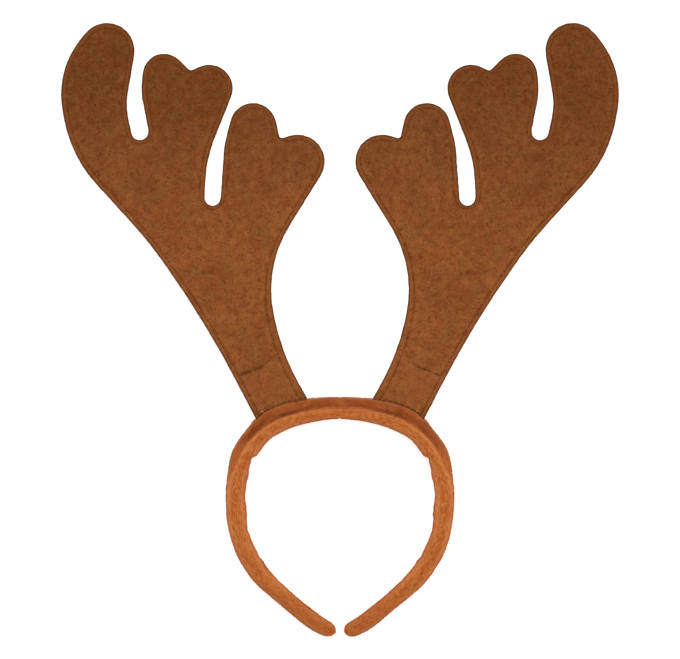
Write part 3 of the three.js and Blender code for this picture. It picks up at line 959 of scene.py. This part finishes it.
def pile(band, band_map, side, material):
    """Half of the plush's pile: short strands brushed along the hoop."""
    def wanted(middles, normals):
        return np.where(middles[:, 0] * side > 0, np.where(normals[:, 2] > -0.6, 1, 0.4), 0)

    spots, normals, rng = scatter(band.data, PILE_STRANDS, 90 + side, wanted)
    zones = band_map.zones(spots)
    count = len(spots)
    brushed = side * zones["direction"]
    swirl = noise(zones["hoop"], np.array([14, 4, 1]) * MM, 77)
    sideways = np.cross(normals, brushed)
    lean = brushed + sideways * (0.35 * swirl + 0.30 * rng.normal(size=count))[:, None]
    lean = unit(lean - normals * np.sum(lean * normals, 1, keepdims=True))
    fluffy = 1 + 0.45 * (1 - smoothstep(np.abs(normals[:, 2]), 0.2, 0.6))
    points, faces = hairs(PILE, spots, normals, lean, rng, fluffy)
    piece = new_piece(f"plush_pile_{side_name(side)}", points, faces, material, False)
    band_map.paint(piece.data, zones, len(points) // count)
    return piece


# Materials


def srgb(red, green, blue):
    """A colour given as it looks on screen, 0 to 255, as the linear numbers that a shader takes."""
    values = [c / 255 for c in (red, green, blue)]
    return (*[c / 12.92 if c <= 0.04045 else ((c + 0.055) / 1.055) ** 2.4 for c in values], 1.0)


def feed(node, values):
    """Sets a node's inputs to values, or links them to other nodes' outputs."""
    for name, value in values.items():
        if isinstance(value, bpy.types.NodeSocket):
            node.id_data.links.new(value, node.inputs[name])
        else:
            node.inputs[name].default_value = value


def surface_of(material):
    material.use_nodes = True
    return material.node_tree.nodes["Principled BSDF"]


class Shader:
    """A material and short ways to add nodes to it."""

    def __init__(self, name, roughness, sheen, sheen_tint, sheen_roughness):
        self.material = bpy.data.materials.new(name)
        self.surface = surface_of(self.material)
        self.nodes = self.material.node_tree.nodes
        feed(self.surface, {
            "Roughness": roughness,
            "Sheen Weight": sheen,
            "Sheen Tint": sheen_tint,
            "Sheen Roughness": sheen_roughness,
            "Specular IOR Level": 0.05,
        })

    def node(self, kind, values):
        node = self.nodes.new("ShaderNode" + kind)
        feed(node, values)
        return node

    def place(self):
        return self.node("TexCoord", {}).outputs["Object"]

    def painted(self, name, output="Fac"):
        node = self.node("Attribute", {})
        node.attribute_name = name
        return node.outputs[output]

    def stretched(self, vector, scale):
        return self.node("Mapping", {"Scale": scale, "Vector": vector}).outputs["Vector"]

    def noise(self, vector, scale, detail=3.0, roughness=0.5):
        values = {"Scale": scale, "Detail": detail, "Roughness": roughness, "Vector": vector}
        return self.node("TexNoise", values).outputs["Fac"]

    def limits(self, value, low, high):
        node = self.node("MapRange", {"From Min": low, "From Max": high, "Value": value})
        node.interpolation_type = "SMOOTHSTEP"
        return node.outputs["Result"]

    def times(self, first, second):
        node = self.node("Math", {0: first, 1: second})
        node.operation = "MULTIPLY"
        return node.outputs["Value"]

    def blend(self, amount, first, second, kind="MIX"):
        node = self.node("Mix", {"Factor": amount})
        node.data_type = "RGBA"
        node.blend_type = kind
        feed(node, {6: first, 7: second})
        return node.outputs[2]

    def tinted(self, colour, *rows):
        """Mixes in new colours one by one, each by its amount as a value goes from low to high."""
        for value, low, high, amount, new in rows:
            colour = self.blend(self.times(self.limits(value, low, high), amount), colour, new)
        return colour

    def masked(self, colour, mask, amount, new):
        """Mixes a new colour in by an amount where a painted mask is set."""
        return self.blend(self.times(self.painted(mask), amount), colour, new)

    def bump(self, height, strength, distance, before=None):
        values = {"Strength": strength, "Distance": distance, "Height": height}
        if before is not None:
            values["Normal"] = before
        return self.node("Bump", values).outputs["Normal"]

    def finish(self, colour, normal=None):
        feed(self.surface, {"Base Color": colour})
        if normal is not None:
            feed(self.surface, {"Normal": normal})
        return self.material


def felt_material():
    s = Shader("felt", roughness=0.98, sheen=0.06, sheen_tint=srgb(200, 130, 80), sheen_roughness=0.5)
    place = s.place()
    clouds = s.noise(place, 34, 3)
    hues = s.noise(place, 130, 3, 0.55)
    mottle = s.noise(place, 220, 4, 0.6)
    specks = s.noise(place, 450, 2, 0.5)
    flecks = s.noise(place, 780, 2, 0.6)
    grain = s.noise(place, 1700, 2, 0.6)
    colour = s.blend(s.limits(hues, 0.38, 0.62), srgb(136, 76, 37), srgb(129, 80, 38))
    colour = s.tinted(
        colour,
        (clouds, 0.48, 0.66, 0.50, srgb(147, 86, 44)),
        (clouds, 0.52, 0.34, 0.30, srgb(120, 65, 29)),
    )
    border = s.times(s.painted("border"), s.limits(hues, 0.30, 0.60))
    colour = s.blend(s.times(border, 0.38), colour, srgb(160, 94, 48))
    colour = s.tinted(
        colour,
        (mottle, 0.46, 0.66, 0.55, srgb(112, 56, 26)),
        (mottle, 0.46, 0.30, 0.55, srgb(155, 96, 51)),
        (specks, 0.61, 0.71, 0.60, srgb(88, 44, 18)),
        (flecks, 0.57, 0.70, 0.80, srgb(86, 45, 17)),
        (flecks, 0.46, 0.32, 0.35, srgb(164, 100, 56)),
        (grain, 0.35, 0.65, 0.30, srgb(110, 60, 28)),
    )
    colour = s.masked(colour, "foot", 0.22, srgb(152, 89, 47))
    colour = s.blend(s.painted("tips"), colour, (0.62, 0.61, 0.58, 1), "MULTIPLY")
    # Painted shade in the press marks
    colour = s.masked(colour, "marks", 0.90, srgb(88, 43, 17))
    uneven = s.limits(mottle, 0.30, 0.60)
    colour = s.blend(s.times(s.times(s.painted("hem"), uneven), 0.32), colour, srgb(150, 82, 34))
    # Painted shade in the stitch grooves
    colour = s.blend(s.times(s.times(s.painted("groove"), uneven), 0.55), colour, srgb(84, 42, 16))
    # Painted shade along the cut edge
    colour = s.masked(colour, "rim", 0.75, srgb(78, 44, 20))
    # Painted shade where the felt meets the seam ridge
    colour = s.masked(colour, "joint", 0.85, srgb(66, 32, 10))
    normal = s.bump(flecks, 0.5, 0.0004, s.bump(mottle, 0.6, 0.0005, s.bump(grain, 0.9, 0.0003)))
    return s.finish(colour, normal)


def fibre_material(name, dark, light):
    s = Shader(name, roughness=0.95, sheen=0.06, sheen_tint=light, sheen_roughness=0.5)
    shade = s.noise(s.place(), 900, 2)
    return s.finish(s.blend(s.limits(shade, 0.3, 0.7), dark, light))


def plush_colour(s, strength, light):
    """The plush's colour: streaks and tufts, light rims that are painted highlights, a darker seam ridge
    that is partly painted shade, and painted shade in the crease, on the shoulders and beside the feet,
    darker towards the free ends.
    """
    def lit(*colour):
        return srgb(*(light * value for value in colour))

    hoop = s.painted("hoop", "Vector")
    streaks = s.noise(s.stretched(hoop, (330, 1250, 1)), 1, 3)
    tufts = s.noise(s.stretched(hoop, (410, 1850, 1)), 1, 2)
    patches = s.noise(s.stretched(hoop, (85, 230, 1)), 1, 3)
    rim_highlights = s.times(s.painted("rim_highlights"), 0.72)
    patchy = s.limits(patches, 0.38, 0.62)
    colour = s.blend(patchy, lit(180, 93, 38), lit(194, 111, 53))
    colour = s.tinted(
        colour,
        (streaks, 0.46, 0.66, strength, lit(206, 126, 66)),
        (streaks, 0.48, 0.30, strength, lit(150, 75, 28)),
    )
    # Painted highlight: the plush's sheen along the padding's light rims
    colour = s.blend(rim_highlights, colour, lit(220, 147, 92))
    colour = s.tinted(
        colour,
        (tufts, 0.50, 0.64, strength, lit(226, 144, 84)),
        (tufts, 0.50, 0.36, strength, lit(134, 64, 22)),
    )
    # The seam ridge's colours: partly its own darker nap, partly painted shade of the recessed ridge
    seam = s.blend(patchy, lit(145, 73, 31), lit(166, 90, 46))
    seam = s.tinted(
        seam,
        (streaks, 0.48, 0.66, strength, lit(190, 104, 53)),
        (tufts, 0.50, 0.36, strength, lit(136, 65, 26)),
    )
    # Painted highlight along the seam ridge's rims and upper edge
    seam = s.blend(rim_highlights, seam, lit(200, 130, 80))
    colour = s.masked(colour, "ridge", 0.92, seam)
    # Painted shade in the crease, on the shoulders and beside the feet, and darker towards the free ends
    colour = s.masked(colour, "shade", 0.86, lit(112, 50, 17))
    return colour, streaks


def plush_material(name, strength, light, bumpy):
    s = Shader(name, roughness=0.95, sheen=0.30, sheen_tint=srgb(230, 160, 100), sheen_roughness=0.30)
    colour, streaks = plush_colour(s, strength, light)
    return s.finish(colour, s.bump(streaks, 0.35, 0.0004) if bumpy else None)


# Studio


def area_light(name, place, size, power):
    """A round light that shines on the origin from a place."""
    data = bpy.data.lights.new(name, "AREA")
    data.shape = "DISK"
    data.size = size
    data.energy = power
    obj = bpy.data.objects.new(name, data)
    obj.location = place
    obj.rotation_euler = (-Vector(place)).to_track_quat("-Z", "Y").to_euler()
    bpy.context.scene.collection.objects.link(obj)


def studio():
    white, light_all_round, floor_glow, reach = (1, 1, 1, 1), 0.70, 0.55, 4.0
    world = bpy.data.worlds.new("studio")
    world.use_nodes = True
    feed(world.node_tree.nodes["Background"], {"Color": white, "Strength": light_all_round})
    bpy.context.scene.world = world
    area_light("key", (-0.30, 1.00, 1.15), size=1.1, power=11)
    area_light("fill", (0.8, -0.3, 1.2), size=1.2, power=5)
    floor = bpy.data.materials.new("floor")
    glow = {"Emission Color": white, "Emission Strength": floor_glow}
    feed(surface_of(floor), {"Base Color": (0.9, 0.9, 0.9, 1), "Roughness": 0.9, **glow})
    corners = reach * np.array([[-1, -1, 0], [1, -1, 0], [1, 1, 0], [-1, 1, 0]])
    new_piece("floor", corners, [np.array([[0, 1, 2, 3]])], floor, False)


def camera(low, high):
    """Straight above the front of the headband, as in the photograph, with the object filling the view."""
    image_width, image_height = 680, 659
    fill = 0.93
    lens, sensor = 400.0, 36.0
    middle = (low + high) / 2
    view_height = (high.y - low.y) / fill
    view_width = view_height * image_width / image_height
    data = bpy.data.cameras.new("camera")
    data.lens = lens
    data.sensor_width = sensor
    obj = bpy.data.objects.new("camera", data)
    outline_height = high.z / 4
    obj.location = (middle.x, middle.y, outline_height + view_width * lens / sensor)
    bpy.context.scene.collection.objects.link(obj)
    bpy.context.scene.camera = obj


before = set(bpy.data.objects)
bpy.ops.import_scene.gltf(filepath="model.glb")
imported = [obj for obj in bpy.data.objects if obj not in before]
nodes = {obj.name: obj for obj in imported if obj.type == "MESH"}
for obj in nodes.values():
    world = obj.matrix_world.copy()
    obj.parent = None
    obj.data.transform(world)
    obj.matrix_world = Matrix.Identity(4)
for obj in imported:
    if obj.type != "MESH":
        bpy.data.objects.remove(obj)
cad_low, cad_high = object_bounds()

felt = felt_material()
thread_brown = fibre_material("thread", srgb(86, 45, 18), srgb(118, 65, 30))
thread_light = fibre_material("thread_light", srgb(178, 108, 60), srgb(206, 140, 90))
fuzz = fibre_material("felt_fibres", srgb(122, 68, 32), srgb(176, 108, 60))
# The pile's plush colour is a lighter copy and the band's a darker one: painted light that offsets the
# shade the thin strands cast on themselves
plush = plush_material("plush", strength=0.40, light=0.94, bumpy=True)
plush_strands = plush_material("plush_pile", strength=0.55, light=1.05, bumpy=False)

band_map = BandMap(nodes["headband"])
band = plush_band(nodes["headband"], band_map, plush)
piles = [pile(band, band_map, side, plush_strands) for side in (-1, 1)]
for obj in (band, *piles):
    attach(obj, "root")
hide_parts("headband")

for side in (-1, 1):
    front, back = (nodes[f"antler_{side_name(side)}_{layer}"] for layer in ("front", "back"))
    antler = Antler(side, front, back, band_map)
    front_piece = felt_layer(antler, "front", felt)
    back_piece = felt_layer(antler, "back", felt)
    surfaces = tree_over((front_piece, back_piece, band))
    pieces = [front_piece, back_piece]
    pieces.append(sewing(antler, thread_brown))
    pieces.append(joint_stitches(antler, surfaces, thread_brown))
    pieces.append(thread_knot(antler, surfaces, thread_light))
    pieces.append(felt_fibres(antler, (front_piece, back_piece), fuzz))
    for obj in pieces:
        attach(obj, "root")
    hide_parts(front.name)
    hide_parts(back.name)

studio()
camera(cad_low, cad_high)
bpy.context.scene.view_settings.view_transform = "Standard"
